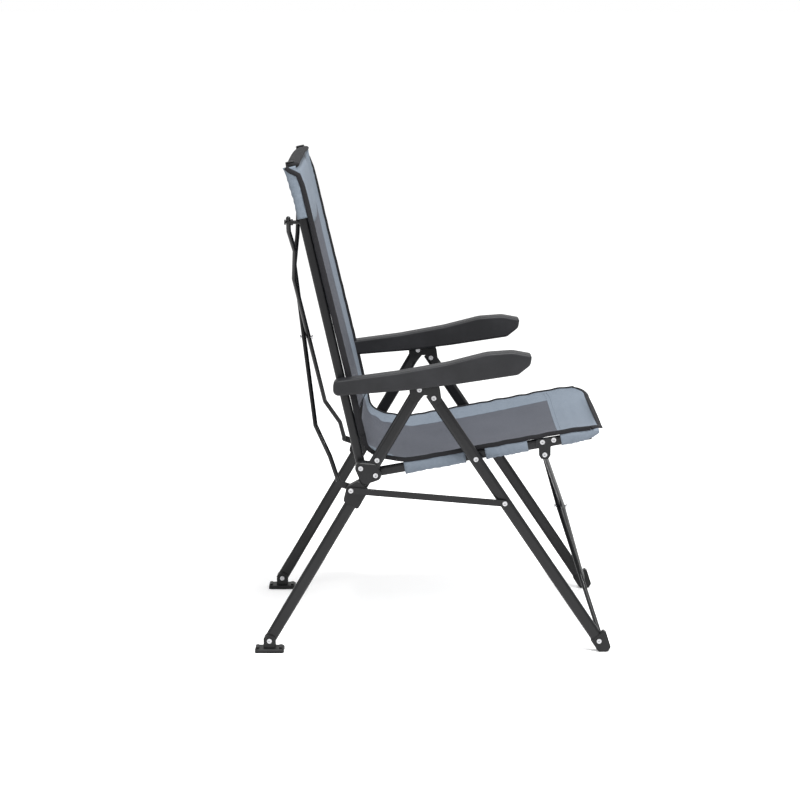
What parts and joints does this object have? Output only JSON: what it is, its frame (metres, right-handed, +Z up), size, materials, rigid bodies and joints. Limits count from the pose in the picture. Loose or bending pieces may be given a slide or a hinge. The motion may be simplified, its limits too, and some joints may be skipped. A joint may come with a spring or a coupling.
{
  "type": "folding camp armchair",
  "caption": "High-back folding camp armchair: flat-oval tube A-frame legs, crossed bars, reclining sling back, moulded armrests and hinged rear feet.",
  "frame": {"origin": "on the floor under the middle of the chair's bounding box, back upright", "axes": "+X towards the chair's front, +Y to the sitter's left, +Z up"},
  "size_m": [0.7708, 0.542, 1.0603],
  "materials": {
    "black_tube": "satin black powder coat",
    "rivet_steel": "plated rivet heads",
    "black_plastic": "moulded, matte",
    "armrest_plastic": "fine-textured, matte",
    "blue_cloth": "woven polyester",
    "grey_mesh": "coated mesh"
  },
  "bodies": {
    "frame": {"arm_bracket_left": "black_plastic", "arm_bracket_right": "black_plastic", "brace_link_left": "black_tube", "brace_link_right": "black_tube", "brace_sleeve_left": "black_plastic", "brace_sleeve_right": "black_plastic", "clip_rivet_left": "rivet_steel", "clip_rivet_right": "rivet_steel", "front_cross_bar_a": "black_tube", "front_cross_bar_b": "black_tube", "front_cross_rivet": "rivet_steel", "front_foot_left": "black_plastic", "front_foot_right": "black_plastic", "front_leg_left": "black_tube", "front_leg_right": "black_tube", "front_leg_rivets_left": "rivet_steel", "front_leg_rivets_right": "rivet_steel", "hub_pins_left": "rivet_steel", "hub_pins_right": "rivet_steel", "leg_rivets_left": "rivet_steel", "leg_rivets_right": "rivet_steel", "link_pin_left": "rivet_steel", "link_pin_right": "rivet_steel", "rail_plugs_left": "black_plastic", "rail_plugs_right": "black_plastic", "rear_leg_left": "black_tube", "rear_leg_right": "black_tube", "seat_bracket_left": "black_tube", "seat_bracket_right": "black_tube", "seat_fabric": "grey_mesh", "seat_hub_left": "black_plastic", "seat_hub_right": "black_plastic", "seat_rail_left": "black_tube", "seat_rail_right": "black_tube", "seat_tunnels_left": "blue_cloth", "seat_tunnels_right": "blue_cloth", "sleeve_rivet_left": "rivet_steel", "sleeve_rivet_right": "rivet_steel"},
    "back": {"arm_pin_left": "rivet_steel", "arm_pin_right": "rivet_steel", "back_fabric": "grey_mesh", "back_plug_left": "black_plastic", "back_plug_right": "black_plastic", "back_pocket_left": "blue_cloth", "back_pocket_right": "blue_cloth", "back_stub_left": "black_tube", "back_stub_right": "black_tube", "back_tube_left": "black_tube", "back_tube_right": "black_tube", "headrest": "blue_cloth"},
    "back_bars": {"back_cross_bar_a": "black_tube", "back_cross_bar_b": "black_tube", "back_cross_rivet": "rivet_steel"},
    "arm_right": {"armrest_right": "armrest_plastic"},
    "link_right_body": {"link_right": "black_tube"},
    "rear_foot_right_body": {"rear_foot_right": "black_plastic"},
    "arm_left": {"armrest_left": "armrest_plastic"},
    "link_left_body": {"link_left": "black_tube"},
    "rear_foot_left_body": {"rear_foot_left": "black_plastic"}
  },
  "joints": [
    {"name": "recline", "type": "hinge", "parent": "frame", "child": "back", "pos_m": [-0.1552, 0, 0.4073], "axis": [0, -1, 0], "range_deg": [0, 33]},
    {"name": "back_bars_swing", "type": "hinge", "parent": "back", "child": "back_bars", "pos_m": [-0.3063, 0, 0.9293], "axis": [0, -1, 0], "range_deg": [-4, 1]},
    {"name": "arm_swing_right", "type": "hinge", "parent": "back", "child": "arm_right", "pos_m": [-0.188, -0.2505, 0.5855], "axis": [0, -1, 0], "range_deg": [-26, 1]},
    {"name": "link_swing_right", "type": "hinge", "parent": "frame", "child": "link_right_body", "pos_m": [-0.1763, -0.232, 0.3595], "axis": [0, -1, 0], "range_deg": [-1, 82]},
    {"name": "foot_swivel_right", "type": "hinge", "parent": "frame", "child": "rear_foot_right_body", "pos_m": [-0.354, -0.25, 0.0246], "axis": [0, 1, 0], "range_deg": [-15, 25]},
    {"name": "arm_swing_left", "type": "hinge", "parent": "back", "child": "arm_left", "pos_m": [-0.188, 0.2505, 0.5855], "axis": [0, -1, 0], "range_deg": [-26, 1]},
    {"name": "link_swing_left", "type": "hinge", "parent": "frame", "child": "link_left_body", "pos_m": [-0.1763, 0.232, 0.3595], "axis": [0, -1, 0], "range_deg": [-1, 82]},
    {"name": "foot_swivel_left", "type": "hinge", "parent": "frame", "child": "rear_foot_left_body", "pos_m": [-0.354, 0.25, 0.0246], "axis": [0, 1, 0], "range_deg": [-15, 25]}
  ],
  "couplings": [
    {"joint": "back_bars_swing", "follows": "recline", "ratio": -0.0712},
    {"joint": "arm_swing_right", "follows": "recline", "ratio": -0.746},
    {"joint": "link_swing_right", "follows": "recline", "ratio": 2.4},
    {"joint": "arm_swing_left", "follows": "recline", "ratio": -0.746},
    {"joint": "link_swing_left", "follows": "recline", "ratio": 2.4}
  ]
}
